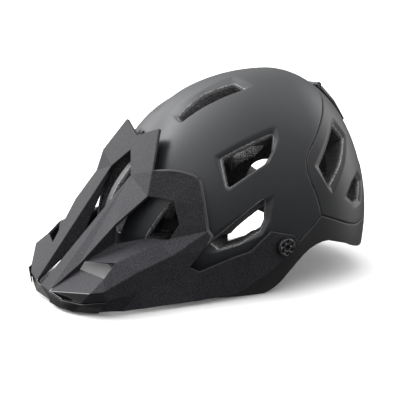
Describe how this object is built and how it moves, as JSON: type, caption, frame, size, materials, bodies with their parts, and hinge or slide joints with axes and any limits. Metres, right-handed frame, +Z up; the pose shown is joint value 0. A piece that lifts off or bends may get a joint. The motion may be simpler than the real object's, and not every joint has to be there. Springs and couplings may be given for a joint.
{
  "type": "cycling helmet",
  "caption": "Matte black trail cycling helmet with a big faceted peak held by finger screws, a hinged goggle clip, a dial fit system, comfort pads and chin straps with a side buckle.",
  "frame": {"origin": "middle of the footprint, on the surface the helmet stands on", "axes": "+X the wearer's left, -Y the front of the helmet (the peak), +Z up"},
  "size_m": [0.2326, 0.358, 0.211],
  "materials": {
    "shell": "satin",
    "visor": "fine grain",
    "gloss": "gloss",
    "foam": "moulded bead foam",
    "hardware": "moulded",
    "nylon": "moulded",
    "steel": "brushed",
    "padding": "brushed knit",
    "webbing": "woven"
  },
  "bodies": {
    "helmet": {"upper_shell": "shell", "rear_shell": "shell", "lower_shell": "shell", "eps_liner": "foam", "visor_washers": "hardware", "visor_nuts": "steel", "clip_pin": "steel", "clip_base": "hardware", "brow_pad": "padding", "crown_pad_front": "padding", "crown_pad_rear": "padding", "crown_pad_left": "padding", "crown_pad_right": "padding", "side_pad_left": "padding", "side_pad_right": "padding", "fit_arm_left": "nylon", "fit_arm_right": "nylon", "arm_anchors": "nylon", "height_guide": "nylon", "strap_anchors_front": "nylon", "strap_anchors_rear": "nylon", "front_strap_left": "webbing", "front_strap_right": "webbing", "rear_strap_left": "webbing", "rear_strap_right": "webbing", "strap_divider_left": "hardware", "strap_divider_right": "hardware", "chin_strap_left": "webbing", "chin_strap_right": "webbing", "chin_pad": "padding", "buckle_socket": "hardware", "strap_keeper": "hardware"},
    "visor": {"visor": "visor", "lip_trim": "gloss"},
    "screw_left": {"visor_screw_left": "hardware"},
    "screw_right": {"visor_screw_right": "hardware"},
    "clip": {"goggle_clip": "hardware"},
    "cradle": {"fit_cradle": "nylon", "nape_pad": "padding", "dial_housing": "nylon", "detent_spring": "steel"},
    "dial": {"dial_knob": "hardware", "dial_pinion": "nylon"},
    "rack_left_body": {"rack_left": "nylon"},
    "rack_right_body": {"rack_right": "nylon"},
    "plug": {"buckle_plug": "hardware"}
  },
  "joints": [
    {"name": "visor_tilt", "type": "hinge", "parent": "helmet", "child": "visor", "pos_m": [0, 0.032, 0.051], "axis": [-1, 0, 0], "range_deg": [0, 12]},
    {"name": "screw_left_turn", "type": "hinge", "parent": "helmet", "child": "screw_left", "pos_m": [0.112, 0.032, 0.051], "axis": [1, 0, 0], "continuous": true},
    {"name": "screw_right_turn", "type": "hinge", "parent": "helmet", "child": "screw_right", "pos_m": [-0.112, 0.032, 0.051], "axis": [-1, 0, 0], "continuous": true},
    {"name": "goggle_clip_hinge", "type": "hinge", "parent": "helmet", "child": "clip", "pos_m": [0, 0.13, 0.1922], "axis": [1, 0, 0], "range_deg": [0, 25], "stiffness_Nm_per_rad": 0.2},
    {"name": "cradle_height", "type": "slide", "parent": "helmet", "child": "cradle", "axis": [0, 0, 1], "range_m": [-0.008, 0.006]},
    {"name": "dial_turn", "type": "hinge", "parent": "cradle", "child": "dial", "pos_m": [0, 0.122, 0.045], "axis": [0, 1, 0], "range_deg": [-90, 90]},
    {"name": "rack_left_slide", "type": "slide", "parent": "cradle", "child": "rack_left_body", "axis": [1, 0, 0], "range_m": [-0.0095, 0.0095]},
    {"name": "rack_right_slide", "type": "slide", "parent": "cradle", "child": "rack_right_body", "axis": [-1, 0, 0], "range_m": [-0.0095, 0.0095]},
    {"name": "buckle_release", "type": "slide", "parent": "helmet", "child": "plug", "axis": [-1, 0, 0], "range_m": [0, 0.018]}
  ],
  "couplings": [
    {"joint": "rack_left_slide", "follows": "dial_turn", "m_per_rad": 0.006},
    {"joint": "rack_right_slide", "follows": "dial_turn", "m_per_rad": 0.006}
  ]
}
